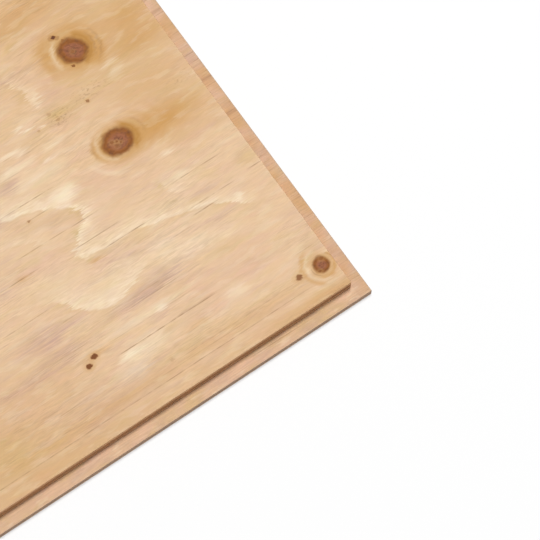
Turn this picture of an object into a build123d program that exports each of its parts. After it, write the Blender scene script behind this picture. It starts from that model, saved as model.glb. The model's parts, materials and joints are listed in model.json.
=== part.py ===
from build123d import *
import os

os.makedirs("parts", exist_ok=True)

# A pine plywood sheet with half-lap (shiplap) edges, lying face up.
# Millimetres. X runs along the face grain and Y across it. The origin is the middle of the back.
# Seen from the face, an underlap runs along the -Y edge and round the corner onto the +X end.
# The +Y edge and the -X end carry the overlap that rests on the next sheet's underlap.

INCH = 25.4

# What one laid sheet covers, its thickness, and how far each lap reaches under or over the next
cover_length = 96 * INCH
cover_width = 48 * INCH
thickness = 19 / 32 * INCH
lap = 3 / 8 * INCH

# The underlap is 1/4 inch thick, and the overlap clears it by lap_clearance when they are closed up
underlap_thickness = 1 / 4 * INCH
lap_clearance = 0.3

# Light sanding on every sawn corner, from a knife edge to a small round
arris_radius = 0.4

# The blank takes in the laps, and each lap shifts its half of the sheet away from the middle
blank_length = cover_length + lap
blank_width = cover_width + lap
lap_shift = lap / 2

ledge_height = underlap_thickness
overlap_height = underlap_thickness + lap_clearance


with BuildPart() as plywood_sheet:
    # The pressed and trimmed blank, before its edges are machined
    with BuildSketch(Plane.XY) as blank:
        Rectangle(blank_length, blank_width)
    extrude(amount=thickness)

    # The face rebate leaves the underlap standing along the -Y edge and the +X end
    with BuildSketch(Plane.XY.offset(ledge_height)) as face_rebate:
        Rectangle(blank_length, blank_width)
        with Locations((-lap_shift, lap_shift)):
            Rectangle(cover_length, cover_width, mode=Mode.SUBTRACT)
    extrude(amount=thickness - ledge_height, mode=Mode.SUBTRACT)

    # The back rebate leaves the overlap along the +Y edge and the -X end
    with BuildSketch(Plane.XY) as back_rebate:
        Rectangle(blank_length, blank_width)
        with Locations((lap_shift, -lap_shift)):
            Rectangle(cover_length, cover_width, mode=Mode.SUBTRACT)
    extrude(amount=overlap_height, mode=Mode.SUBTRACT)

    # The outlines of the face and of the back lose their sharp arris
    flats = plywood_sheet.faces().filter_by(Axis.Z).sort_by(Axis.Z)
    fillet(flats[-1].edges() + flats[0].edges(), radius=arris_radius)

    # So do the lips of both laps, which are the outermost edges at their own heights
    def lip_edges(height):
        """The edges at this height that lie on the blank's own outline."""
        level = plywood_sheet.edges().filter_by_position(Axis.Z, height - 0.01, height + 0.01)
        along_x = level.filter_by(Axis.X).group_by(Axis.Y)
        along_y = level.filter_by(Axis.Y).group_by(Axis.X)
        return along_x, along_y

    ledge_x, ledge_y = lip_edges(ledge_height)
    fillet(ledge_x[0] + ledge_y[-1], radius=arris_radius)

    overlap_x, overlap_y = lip_edges(overlap_height)
    fillet(overlap_x[-1] + overlap_y[0], radius=arris_radius)

plywood_sheet.part.label = "plywood_sheet"
export_step(plywood_sheet.part, "parts/plywood_sheet.step")
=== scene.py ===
"""A knotty pine plywood sheet with half-lap edges, built round its CAD frame, and a plain stage for it."""

import json
import math
from collections import namedtuple
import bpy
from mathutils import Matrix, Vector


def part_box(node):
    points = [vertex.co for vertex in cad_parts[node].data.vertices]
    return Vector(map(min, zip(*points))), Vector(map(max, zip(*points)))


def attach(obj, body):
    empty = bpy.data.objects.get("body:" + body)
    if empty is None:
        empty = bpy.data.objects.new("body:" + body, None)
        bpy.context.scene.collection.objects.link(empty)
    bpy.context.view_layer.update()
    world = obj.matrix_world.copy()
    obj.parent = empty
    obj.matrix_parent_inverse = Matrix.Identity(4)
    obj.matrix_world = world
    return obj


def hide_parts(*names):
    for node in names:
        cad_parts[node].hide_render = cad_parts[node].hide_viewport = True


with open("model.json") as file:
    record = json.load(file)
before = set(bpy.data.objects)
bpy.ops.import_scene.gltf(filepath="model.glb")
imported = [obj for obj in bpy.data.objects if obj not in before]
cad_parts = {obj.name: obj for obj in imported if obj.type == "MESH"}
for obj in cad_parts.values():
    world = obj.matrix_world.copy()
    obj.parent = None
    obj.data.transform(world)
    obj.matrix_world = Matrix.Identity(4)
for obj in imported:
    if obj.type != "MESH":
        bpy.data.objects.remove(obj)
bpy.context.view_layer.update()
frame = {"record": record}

from types import SimpleNamespace

import bpy
import numpy as np
from bpy.props import FloatProperty, FloatVectorProperty, IntProperty, PointerProperty
from mathutils import Matrix, Vector

bl_info = {
    "name": "Half-Lapped Plywood Sheet",
    "version": (1, 0, 0),
    "blender": (4, 5, 0),
    "location": "3D View > Sidebar > Plywood",
    "description": "Adds a knotty pine plywood sheet with half-lap edges, and a plain stage for it",
    "category": "Add Mesh",
}

NODE = "plywood_sheet"

# Places are rounded to this many digits of a metre, and those nearer than this count as one
DIGITS = 7
SAME = 1e-7


def snapped(places):
    """Places in metres, rounded to a tenth of a micron, so that places that should be one are equal."""
    return np.round(np.array(places, float), DIGITS)


# The sheet as the frame gives it, in metres: its box, and the levels and reach of its laps
LOW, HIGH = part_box(NODE)
MOUNT = {mount["name"]: Vector(mount["pos_m"]) for mount in frame["record"]["mounts"]}
LEDGE_LEVEL = MOUNT["long_underlap"].z
OVERLAP_LEVEL = MOUNT["long_overlap"].z
LAP = 2 * (MOUNT["long_underlap"].y - LOW.y)

# The upper half carries the face and the overlaps, and the lower half the back and the underlaps
Half = namedtuple("Half", "low high")
UPPER = Half(snapped([LOW.x, LOW.y + LAP, OVERLAP_LEVEL]), snapped([HIGH.x - LAP, HIGH.y, HIGH.z]))
LOWER = Half(snapped([LOW.x + LAP, LOW.y, LOW.z]), snapped([HIGH.x, HIGH.y - LAP, LEDGE_LEVEL]))

# Patterns are drawn in millimetres
MM = 1000.0
FACE_END = UPPER.high[0] * MM
FACE_EDGE = UPPER.low[1] * MM
THICKNESS = HIGH.z * MM

# The sheet's materials, in the order of their slots
FACE_SLOT, BACK_SLOT, LAP_SLOT, END_SLOT, LONG_SLOT = range(5)


def linear(red, green, blue):
    """A colour given as it shows on a screen, 0 to 255, as the linear one that shaders use."""
    shown = np.array([red, green, blue]) / 255
    return tuple(np.where(shown <= 0.04045, shown / 12.92, ((shown + 0.055) / 1.055) ** 2.4).tolist())


def colour_property(name, description, shown):
    """A colour a user may pick, with its default given as it shows on a screen."""
    return FloatVectorProperty(
        name=name, description=description, default=linear(*shown), subtype="COLOR", size=3, min=0, max=1
    )


def length_property(name, description, default, highest):
    """A length in metres a user may set."""
    return FloatProperty(
        name=name, description=description, default=default, min=0, max=highest, unit="LENGTH", precision=5
    )


def set_names(group):
    """The names of the properties that a group declares itself."""
    return [name for name in group.bl_rna.properties.keys() if name not in ("rna_type", "name")]


class PlywoodSizes(bpy.types.PropertyGroup):
    """Sizes of the sheet's edges that the saw and the router leave, and how closely its mesh follows them."""

    plies: IntProperty(name="Plies", description="Number of veneers in the sheet", default=5, min=3, max=13)
    arris: length_property("Arris", "How far each sawn corner is rounded off", 0.0004, 0.002)
    rim: length_property("Rim", "How far in from an edge its fibres are torn", 0.0012, 0.005)
    tear: length_property("Tear-out", "Deepest nick where face fibres end at the saw cut", 0.0003, 0.001)
    glue_groove: length_property("Glue groove", "How deep a glue line lies in the sawn edge", 0.00012, 0.0005)
    end_grain: length_property("End grain", "How deep a ply's end grain lies in the edge", 0.00012, 0.0005)
    close_stretch: length_property("Close stretch", "Length of the corner's finely divided edges", 0.3, 1.0)
    close_step: length_property("Close step", "Spacing of stations on the finely divided edges", 0.002, 0.05)
    wide_step: length_property("Wide step", "Spacing of stations on the other edges", 0.006, 0.05)


class PlywoodColours(bpy.types.PropertyGroup):
    """Colours of the pine: its veneers, its knots and its sawn edges."""

    wood: colour_property("Wood", "The face veneer's main colour", (228, 193, 155))
    back: colour_property("Back", "The back veneer's main colour", (218, 182, 142))
    ledge: colour_property("Ledge", "The routed surface of a lap", (217, 180, 145))
    rose: colour_property("Rose", "Pinkish stretches of a veneer", (223, 182, 152))
    mauve: colour_property("Mauve", "Greyish, weathered stretches of a veneer", (203, 167, 145))
    olive: colour_property("Olive", "Yellowish stretches of a veneer", (211, 178, 128))
    gold: colour_property("Gold", "Resin-rich wood near knots", (203, 154, 92))
    cream: colour_property("Cream", "Pale wood just inside the sharp edge of a growth ring", (246, 226, 194))
    check: colour_property("Check", "Fine cracks along the grain", (148, 108, 74))
    heart: colour_property("Knot heart", "The wood of a knot", (160, 98, 64))
    ring: colour_property("Knot ring", "The brown rim of a knot, and pin knots", (144, 84, 24))
    amber: colour_property("Knot amber", "The resinous wood right round a knot", (184, 132, 62))
    bark: colour_property("Knot pith", "Cracks at the middle of a knot", (92, 52, 30))
    edge_side: colour_property("Edge, side grain", "Plies that run along a sawn edge", (232, 184, 138))
    edge_end: colour_property("Edge, end grain", "Plies that end at a sawn edge", (206, 152, 106))
    glue: colour_property("Glue line", "The thin dark line between two plies", (112, 70, 44))
    # Painted shade: a darker grey laid over the sawn edges below the ledge and over the outer rim of the
    # end's underlap
    grey: colour_property("Grey", "Handled wood at the rim of the underlap", (176, 158, 144))


class PlywoodStage(bpy.types.PropertyGroup):
    """The floor, the light and the camera that the sheet is shown with."""

    floor: colour_property("Floor", "The floor's colour", (252, 252, 252))
    floor_size: FloatProperty(name="Floor size", description="Side of the floor", default=60, unit="LENGTH")
    floor_glow: FloatProperty(
        name="Floor glow", description="Share of the floor that glows white", default=0.55, subtype="FACTOR"
    )
    sky: FloatProperty(name="Fill light", description="Strength of the light from all round", default=0.22)
    lamp: FloatProperty(name="Lamp", description="Power of the soft lamp overhead", default=585, unit="POWER")
    lamp_size: FloatProperty(name="Lamp size", description="Side of the lamp", default=2.4, unit="LENGTH")
    lamp_place: FloatVectorProperty(
        name="Lamp place", description="Middle of the lamp", default=(3.0, 0.6, 8.0), subtype="TRANSLATION"
    )
    turn: FloatProperty(
        name="Turn", description="Camera's turn from +Y to +X", default=math.radians(34.59), subtype="ANGLE"
    )
    dip: FloatProperty(
        name="Dip", description="How far the camera looks down", default=math.radians(70.47), subtype="ANGLE"
    )
    distance: FloatProperty(
        name="Distance", description="Depth of the lap's corner in the view", default=1.6493, unit="LENGTH"
    )


# The photograph's side, focal length and place of the lap's outer corner, in pixels
FRAME_SIDE = 540
FOCAL_LENGTH = 2600
CORNER_PIXEL = (372.0, 290.4)

# The camera's sensor in millimetres, and how far it sees in metres
SENSOR_MM = 36.0
FARTHEST = 100

# In what follows, u runs from the face's corner along the grain and v across it, in millimetres

# Two slanting lines end the face's drawn corner. Beyond them it fades into the rest over this stretch.
PAST_LEFT = SimpleNamespace(slope=0.64, start=268)
PAST_TOP = SimpleNamespace(slope=0.74, start=240)
CORNER_FADE = (55.0, 5.0)

# Knots: middle, radius across the grain, how much longer it is along it, how far its top leans towards
# greater u, and the strength of the golden halo at its ends and at its sides
Knot = namedtuple("Knot", "u v radius stretch lean halo around")
KNOTS = (
    Knot(57.0, 233.8, 9.9, 1.0, 0.15, 0.9, 0.75),
    Knot(68.3, 163.9, 9.5, 1.17, 0.0, 0.85, 0.5),
    Knot(8.8, 20.8, 5.6, 0.98, 0.0, 0.45, 0.35),
)

# Knots of the rest of the sheet: their spacing, the largest radius, the share of places that hold one, and
# their form
CHANCE_KNOTS = ((240.0, 13.0, 0.5), (110.0, 2.6, 0.45))
CHANCE_FORM = Knot(0, 0, 0, 1.15, 0.1, 0.7, 0.3)

# Arcs round the knots: middle, radii along and across the grain, the way they face from +u towards +v and
# how far they spread to either side of it, in degrees, half width, and how far each pulls to its colour
ARCS = {
    "gold": (
        (57, 233.8, 20, 22, 20, 50, 5.0, 0.5), (57, 233.8, 18.5, 18.5, 205, 40, 2.2, 0.6),
        (57, 233.8, 14, 13, 185, 70, 3.5, 0.6), (57, 233.8, 13, 12.5, 128, 45, 2.5, 0.7),
        (68.3, 164.4, 16.5, 12, 180, 50, 4.0, 1.0), (68.3, 164.4, 25, 17, 180, 60, 3.0, 0.35),
        (68.3, 164.4, 33, 22, 190, 50, 3.0, 0.3), (68.3, 164.4, 17, 13, 0, 50, 3.0, 0.55),
        (8.8, 20.8, 8.4, 9.0, 225, 85, 1.6, 0.8), (8.8, 20.8, 13, 13, 0, 75, 2.2, 0.55),
    ),
    "amber": (
        (57, 233.8, 11.8, 11.4, 188, 80, 3.4, 0.95), (68.3, 164.3, 13.2, 11.2, 178, 65, 3.2, 0.95),
        (68.3, 164.3, 17, 13.5, 10, 25, 1.6, 0.5),
    ),
    "olive": (
        (68.3, 164.4, 16.5, 11.5, 150, 30, 3.0, 0.6), (56.5, 234, 14, 14, 60, 60, 3.0, 0.5),
        (8.8, 20.8, 9.5, 9.0, 60, 45, 3.0, 0.6),
    ),
    "cream": (
        (57, 233.8, 14, 13.5, 15, 50, 3.2, 0.36), (68.3, 164.4, 14.5, 12, 0, 75, 2.0, 0.25),
        (8.8, 20.8, 10.4, 10.4, 0, 100, 2.0, 0.25), (68.3, 164.4, 24, 21, -45, 35, 3.0, 0.4),
    ),
    "check": (
        (8.8, 20.8, 7.6, 7.6, -25, 45, 0.6, 0.45), (8.8, 20.8, 8.6, 7.0, 150, 30, 0.7, 0.3),
        (56.5, 234, 14.0, 14.5, 190, 45, 1.2, 0.3), (56.5, 234, 17.5, 18.0, 195, 45, 1.8, 0.3),
        (68.3, 164.4, 17.5, 14.5, 10, 30, 1.4, 0.3), (68.3, 164.4, 19.0, 16.0, 170, 35, 1.6, 0.25),
    ),
}

# Pin knots and specks: u, v, radius, darkness
SPECKS = (
    (25.4, 21.4, 1.9, 0.8), (160.7, 51.2, 1.8, 1.0), (166.8, 47.3, 1.7, 1.0), (62.8, 249.0, 1.2, 1.0),
    (64.5, 249.3, 2.0, 0.3), (61.2, 247.3, 1.4, 0.35), (63.0, 224.7, 0.9, 0.8), (59.2, 244.0, 1.0, 0.5),
    (69.0, 198.7, 1.0, 0.6), (91.5, 198.5, 1.0, 0.3), (95.0, 204.6, 1.1, 0.25),
    (106.6, 198.8, 0.8, 0.25), (121.7, 21.7, 1.2, 0.2), (145.6, 150.0, 0.8, 0.5),
    (58.0, 233.4, 1.1, 0.5), (72.2, 165.4, 1.0, 0.6), (69.2, 164.3, 0.8, 0.7), (66.9, 162.5, 0.8, 0.6),
    (70.6, 161.6, 1.3, 0.4), (12.0, 17.3, 0.9, 0.7), (6.5, 24.0, 1.2, 0.6),
)

# Checks, which are fine cracks along the grain: v, where each starts and ends along u, and its darkness
CHECKS = (
    (11.7, 22, 300, 0.65), (16.2, 60, 160, 0.3), (19.6, 18, 120, 0.35), (42.9, 73, 150, 0.85),
    (43.6, 70, 110, 0.3), (93.9, 34, 60, 0.8), (93.2, 160, 205, 0.5), (98.9, 18, 62, 0.5),
    (107.5, 78, 119, 0.85), (119.8, 18, 60, 0.6), (119.6, 155, 192, 0.8), (117.6, 92, 134, 0.6),
    (131.6, 104, 128, 0.8), (131.9, 126, 168, 0.55), (150.2, 127, 150, 0.65), (161.4, 118, 162, 0.7),
    (88.8, 58, 84, 0.4), (69.8, 90, 142, 0.35), (65.0, 82, 140, 0.5), (53.0, 82, 150, 0.3),
    (60.9, 156, 176, 0.5), (80.6, 150, 172, 0.45), (74.5, 148, 160, 0.35), (30.4, 175, 202, 0.5),
    (35.0, 2, 20, 0.45), (200.6, 46, 57, 0.5), (182.0, -2, 10, 0.6), (189.0, -2, 8, 0.6),
    (100.8, -2, 12, 1.0), (82.5, 18, 24, 0.6), (131.8, 60, 68, 0.5), (162.3, 92, 104, 0.4),
    (182.0, 128, 148, 0.4), (190.2, 112, 128, 0.45), (193.8, 126, 140, 0.4), (238.2, 88, 100, 0.5),
    (240.8, 82, 108, 0.35), (251.2, 82, 95, 0.7), (165.8, 81, 91, 0.6), (195.6, 84, 96, 0.5),
    (214.2, 94, 100, 0.7), (205.4, 98, 112, 0.3), (201.6, 104, 112, 0.6),
)

# Sharp edges of pale wood: the points of its line, how far the pale wood fades, its strength, and how far in
# from the line's ends it is faint. A rise follows v over u, and a side follows u over v.
RISES = (
    (((112, 138), (118, 144.5), (125, 146.5), (131, 150.5), (136, 154), (146, 156), (162, 159)),
     8, 0.8, 5),
    (((16, 78), (22, 80), (29, 85), (34, 89), (40, 92.5), (50, 96), (60, 99), (66, 101), (74, 103),
      (82, 104.5), (90, 107.5), (106, 107.7), (118, 108.5), (136, 114)),
     7, 0.7, 14),
    (((86, 84), (96, 83), (104, 80.5), (110, 78), (116, 75.5), (124, 73.5), (134, 73), (142, 75.5),
      (148, 79), (152, 84), (158, 91), (165, 96), (176, 103)),
     16, 0.7, 34),
    (((32, 67), (48, 70), (60, 72), (72, 73), (84, 77), (96, 83)),
     10, 0.35, 20),
    (((140, 131), (148, 133), (152, 138), (160, 141), (172, 143)),
     4, 0.35, 8),
)
SIDES = (
    (((108, 130), (112, 132.5), (117, 132), (120, 128.5), (124, 126.5), (128, 123), (131, 118.5),
      (134, 116), (137, 115.5), (141, 117), (147, 122)),
     9, 0.8, 5),
    (((110, 55), (118, 59), (125, 60), (132, 59)),
     12, 0.35, 8),
    (((211, 91), (213, 96), (216, 99.5), (222, 101), (228, 101), (232, 104), (241, 106)),
     6, 0.4, 8),
)

# Soft stains: u, v, half length along and across the grain, and how far each pulls towards its colour
STAINS = {
    "rose": (
        (92, 142, 30, 26, 0.5), (150, 122, 40, 12, 0.4), (45, 104, 40, 8, 0.3), (70, 46, 44, 22, 0.45),
        (125, 102, 16, 5, 0.3), (40, 50, 30, 20, 0.3), (84, 222, 16, 12, 0.5), (220, 50, 60, 26, 0.4),
        (102, 68, 22, 9, 0.6), (112, 100, 26, 9, 0.4),
    ),
    "mauve": (
        (182, 78, 46, 12, 0.5), (98, 72, 22, 12, 0.35), (200, 60, 40, 7, 0.4), (120, 67, 40, 7, 0.7),
        (113, 98, 22, 6, 0.2), (44, 105.5, 17, 3.6, 0.7), (112, 50, 12, 4, 0.5), (178, 64, 26, 8, 0.5),
        (183, 118, 14, 8, 0.5), (160, 159, 18, 7, 0.5), (104, 95.3, 7, 2, 0.9), (134, 142, 12, 8, 0.35),
        (92, 72, 26, 9, 0.5), (145, 27, 34, 5, 0.4), (92, 94, 50, 5, 0.35), (45, 84, 20, 5, 0.4),
        (190, 58, 50, 9, 0.3), (96, 239, 16, 6, 0.5), (88, 216, 12, 8, 0.35), (145, 176, 14, 8, 0.6),
        (108, 240, 5, 6, 0.4), (175, 22, 60, 24, 0.35),
    ),
    "olive": (
        (119, 139, 3.5, 8, 0.6), (126, 126, 4, 5, 0.8), (98, 25, 40, 8, 0.45), (245, 26, 50, 26, 0.7),
        (6, 109, 16, 8, 0.6), (30, 212, 60, 30, 0.45), (128, 107, 5, 2, 0.8), (110, 39, 8, 4, 0.5),
        (55, 64, 20, 6, 0.35), (62, 127, 4, 6, 0.5), (120, 170, 20, 6, 0.35), (78, 202, 26, 10, 0.5),
        (30, 250, 50, 24, 0.4), (84, 266, 20, 6, 0.7), (91, 203, 12, 8, 0.7), (92, 257, 8, 4, 0.7),
        (104, 225, 6, 7, 0.6), (78, 257, 9, 4, 0.6), (17, 26.5, 4, 3.5, 0.6), (15, 170, 30, 16, 0.35),
    ),
    "gold": (
        (57, 236, 34, 22, 0.75), (76, 238, 8, 12, 0.3), (60, 163, 36, 15, 0.7), (32, 162, 30, 15, 0.5),
        (45, 227, 9, 13, 0.45), (18, 220, 34, 16, 0.5), (0, 252, 190, 150, 0.34),
        (20, 155, 44, 24, 0.35), (228, 32, 100, 70, 0.35), (110, 17, 200, 9, 0.4), (15, 2, 64, 11, 0.4),
        (14, 236, 28, 12, 0.5), (74, 274, 50, 22, 0.5), (50, 102, 18, 6, 0.35), (30, 186, 40, 20, 0.3),
        (168, 120, 8, 2.5, 0.55), (124.5, 104.8, 7, 1.8, 0.75), (66, 216, 14, 4, 0.4),
        (9, 21, 16, 14, 0.3), (158, 52, 16, 4, 0.35), (96, 33, 12, 4, 0.35), (150, 3, 420, 11, 0.3),
    ),
    "cream": (
        (121, 153, 17, 10, 0.7), (114, 155, 13, 11, 0.35), (140, 39.5, 14, 5, 0.45),
        (128, 38, 24, 10, 0.45), (146, 30, 20, 7, 0.35), (82, 86, 36, 22, 0.25), (64, 76, 34, 9, 0.2),
        (63, 36, 14, 7, 0.5), (115, 56, 44, 4, 0.4), (108, 54.5, 6, 3, 0.5), (128, 80, 22, 10, 0.5),
        (122, 111, 12, 3, 0.8), (75, 106, 16, 4, 0.5), (43, 216, 9, 4, 0.45), (42, 208, 9, 4, 0.3),
        (47, 143, 8, 4, 0.5), (50, 124, 12, 6, 0.55), (109, 209, 20, 7, 0.2), (113, 203.5, 5, 1.8, 0.8),
        (118, 207.5, 6, 2.5, 0.6), (104, 199.5, 4, 1.5, 0.6), (96, 220, 4, 12, 0.5),
        (137, 185, 14, 5, 0.6), (124, 184, 12, 4, 0.4), (131, 195.5, 13, 3, 0.6),
        (124, 192.3, 10, 3, 0.5), (124, 172, 28, 10, 0.4), (112, 178, 5, 2, 0.5),
        (102, 185, 10, 4, 0.35), (26, 88, 8, 5, 0.8),
    ),
}

# Where the fibres hardly show, as stains are given
CALM = (
    (52, 48, 40, 34, 1.2), (95, 135, 24, 34, 1.0), (125, 170, 34, 10, 0.9), (150, 105, 30, 14, 0.6),
    (20, 215, 90, 70, 1.3), (30, 150, 50, 30, 0.8),
)

# Where dark specks lie close together
SPECKLED = (
    (90, 199, 13, 9, 0.7), (66, 204, 22, 8, 0.6), (12, 178, 14, 6, 0.4),
)

# Rows that add nothing, to fill up a list of arcs, of specks, of checks or of stains
NO_ARC = (0, 0, 1, 1, 0, 0, 1, 1, 0)
NO_SPECK = (0, 0, 1, 0)
NO_CHECK = (0, 0, 0, 0)
NO_STAIN = (0, 0, 1, 1, 0)

# Brown marks across the underlap's end: their v, and half their width
LEDGE_MARKS = (230.6, 171.7, 142.2)
MARK_HALF_WIDTH = 1.6

# Random patterns, each with its own seed: the length and width of its patches, how many finer ones lie on
# them, and how strong those are
Grain = namedtuple("Grain", "seed long wide detail rough", defaults=(2, 0.5))
BUSY = Grain(2, 60, 18)
FINE = Grain(3, 11, 0.75, 3, 0.6)
COARSE = Grain(4, 30, 2.4, 3)
HAIRS = Grain(5, 18, 0.55, 1)
STREAKS = Grain(6, 24, 1.0, 2, 0.7)
FUZZ = Grain(16, 7, 1.3, 3)
BEND = Grain(18, 15, 9)
TINTS = Grain(19, 18, 3.6, 3)
FIGURE = Grain(12, 560, 110, 1.6)
FIGURE_SHOWS = Grain(13, 260, 60)
CHECK_WANDER = Grain(14, 70, 300, 1)
CHECK_SHOWS = Grain(16, 90, 10)
DRAWN_CHECK_WANDER = Grain(3, 60, 400, 1)
DRAWN_CHECK_BREAKS = Grain(5, 7, 60, 3)
RAGGED = Grain(6, 2.2, 1.2)
SPECKLES = Grain(17, 2.6, 1.5)
UNEVEN = Grain(20, 6, 6)
BLOTCHES = Grain(21, 3.6, 2.8, 3)
CRACKS = Grain(22, 1.9, 1.3, 1)
LEDGE_FINE = Grain(31, 16, 0.7, 3, 0.6)
LEDGE_CLOUDS = Grain(40, 9, 6, 3)
EDGE_FIBRES = Grain(41, 18, 0.35, 3, 0.6)
EDGE_PORES = Grain(42, 0.7, 0.5, 3, 0.7)

# Patches of tone: a random pattern, the values between which the patches come in, and how far they pull
Patch = namedtuple("Patch", "grain start full pull")
PATCHES = {
    "rose": Patch(Grain(7, 30, 11, 3), 0.48, 0.64, 0.6),
    "mauve": Patch(Grain(8, 34, 7, 3), 0.54, 0.68, 0.4),
    "olive": Patch(Grain(9, 28, 10, 3), 0.5, 0.66, 0.5),
    "cream": Patch(Grain(11, 20, 5, 3), 0.54, 0.66, 0.3),
}
GOLD_DRIFTS = Patch(Grain(10, 700, 150, 4, 0.6), 0.42, 0.72, 0.7)
LEDGE_PATCHES = {
    "rose": Patch(Grain(32, 30, 12, 3), 0.46, 0.62, 0.6),
    "olive": Patch(Grain(33, 34, 14, 3), 0.48, 0.64, 0.7),
    "cream": Patch(Grain(34, 14, 4), 0.56, 0.7, 0.25),
    "mauve": Patch(Grain(35, 20, 8, 3), 0.5, 0.66, 0.4),
    "gold": Patch(Grain(38, 30, 26), 0.42, 0.62, 0.45),
}
LEDGE_STREAKS = Patch(Grain(39, 30, 1.6, 3, 0.6), 0.56, 0.72, 0.6)
EDGE_STREAKS = Patch(Grain(43, 26, 1.6, 4, 0.65), 0.48, 0.68, 0.38)

# Seeds of the two veneers and of the ledges' checks, and how far a step of seed moves patterns and cells
FACE_SEED, BACK_SEED, LEDGE_SEED = 1, 61, 22
SEED_SHIFT = SimpleNamespace(along=37.7, across=17.3)
CELL_SHIFT = SimpleNamespace(along=3.1, across=2.3)

# The order in which the hues are laid over the wood
HUES = ("rose", "mauve", "olive", "gold", "cream")


def maths(operation, turned=False):
    """A method that adds a Math node of this operation on two terms, or on the two the other way round."""
    def method(self, other):
        return self.finish.calculate(operation, *((other, self) if turned else (self, other)))

    return method


class Wire:
    """A socket whose sums, products and so on add Math nodes, or Vector Math nodes for vectors.

    least and most give the smaller and the larger of two, and dot the sum of the products of their parts.
    """

    __add__ = __radd__ = maths("ADD")
    __mul__ = __rmul__ = maths("MULTIPLY")
    __sub__, __rsub__ = maths("SUBTRACT"), maths("SUBTRACT", turned=True)
    __truediv__, __rtruediv__ = maths("DIVIDE"), maths("DIVIDE", turned=True)
    least, most, dot = maths("MINIMUM"), maths("MAXIMUM"), maths("DOT_PRODUCT")

    def __init__(self, finish, socket):
        self.finish = finish
        self.socket = socket

    def __abs__(self):
        return self.finish.calculate("ABSOLUTE", self)

    def other(self, name):
        """Another output of the same node."""
        return Wire(self.finish, self.socket.node.outputs[name])

    def ramp(self, start, end):
        """0 up to start and 1 from end on, straight in between. The end may come before the start."""
        return self.mapped(start, end, "LINEAR")

    def step(self, start, end):
        """0 up to start and 1 from end on, along a smooth S in between. The end may come before the start."""
        return self.mapped(start, end, "SMOOTHSTEP")

    def mapped(self, start, end, kind):
        """Map Range of this kind, from start and end to 0 and 1."""
        settings = {"interpolation_type": kind}
        return self.finish.node("ShaderNodeMapRange", settings, {0: self, 1: start, 2: end})


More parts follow.
